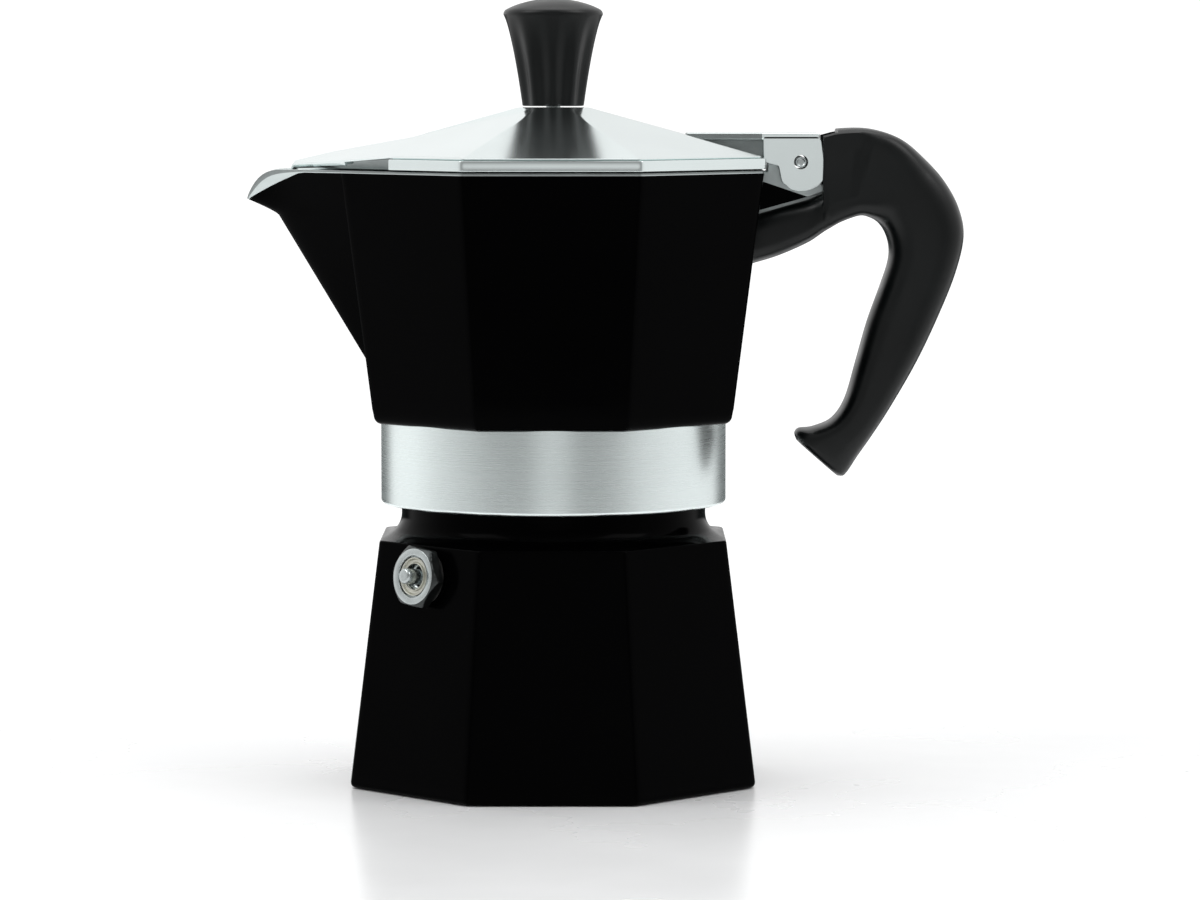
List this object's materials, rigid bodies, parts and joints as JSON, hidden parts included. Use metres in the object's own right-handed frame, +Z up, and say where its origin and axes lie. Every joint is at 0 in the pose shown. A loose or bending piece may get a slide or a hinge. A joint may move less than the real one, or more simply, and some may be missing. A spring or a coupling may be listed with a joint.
{
  "type": "moka pot",
  "caption": "Stovetop coffee maker: tapered octagonal boiler, screw-on pouring chamber with spout, hinged lid with fluted knob, side handle, sprung safety valve and inner funnel.",
  "frame": {"origin": "on the pot's axis, in the plane of the boiler's base", "axes": "+Z up the pot's axis, +X towards the handle, -X towards the spout, -Y towards the viewer of the front"},
  "size_m": [0.1514, 0.0886, 0.165],
  "materials": {
    "black_paint": "gloss",
    "bare_aluminium": "brushed",
    "polished_aluminium": "satin",
    "phenolic": "semi-gloss",
    "plated_steel": "satin",
    "brass": "satin",
    "rubber": "matt"
  },
  "bodies": {
    "boiler_body": {"boiler": "black_paint", "valve_body": "plated_steel", "valve_gasket": "rubber", "valve_retainer": "brass", "valve_spring": "plated_steel"},
    "valve_pin": {"valve_plunger": "plated_steel"},
    "funnel_body": {"funnel": "bare_aluminium", "funnel_screen": "bare_aluminium"},
    "collector_body": {"collector": "black_paint", "gasket": "rubber", "filter_plate": "bare_aluminium", "handle": "phenolic", "handle_screw": "plated_steel", "hinge_pin": "plated_steel"},
    "lid_body": {"lid": "polished_aluminium", "knob": "phenolic", "knob_screw": "plated_steel", "knob_washer": "plated_steel"}
  },
  "joints": [
    {"name": "collector_turn", "type": "hinge", "parent": "boiler_body", "child": "funnel_body", "pos_m": [0, 0, 0.07], "axis": [0, 0, 1], "range_deg": [0, 900]},
    {"name": "collector_rise", "type": "slide", "parent": "funnel_body", "child": "collector_body", "axis": [0, 0, 1], "range_m": [0, 0.00751]},
    {"name": "lid_hinge", "type": "hinge", "parent": "collector_body", "child": "lid_body", "pos_m": [0.052, 0, 0.1307], "axis": [0, 1, 0], "range_deg": [0, 95]},
    {"name": "valve_lift", "type": "slide", "parent": "boiler_body", "child": "valve_pin", "axis": [-0.7018, -0.7018, 0.1222], "range_m": [0, 0.0015], "stiffness_N_per_m": 1200, "springref_m": -0.002, "deforming": ["valve_spring"]}
  ],
  "couplings": [
    {"joint": "collector_rise", "follows": "collector_turn", "m_per_rad": 0.00047746}
  ]
}
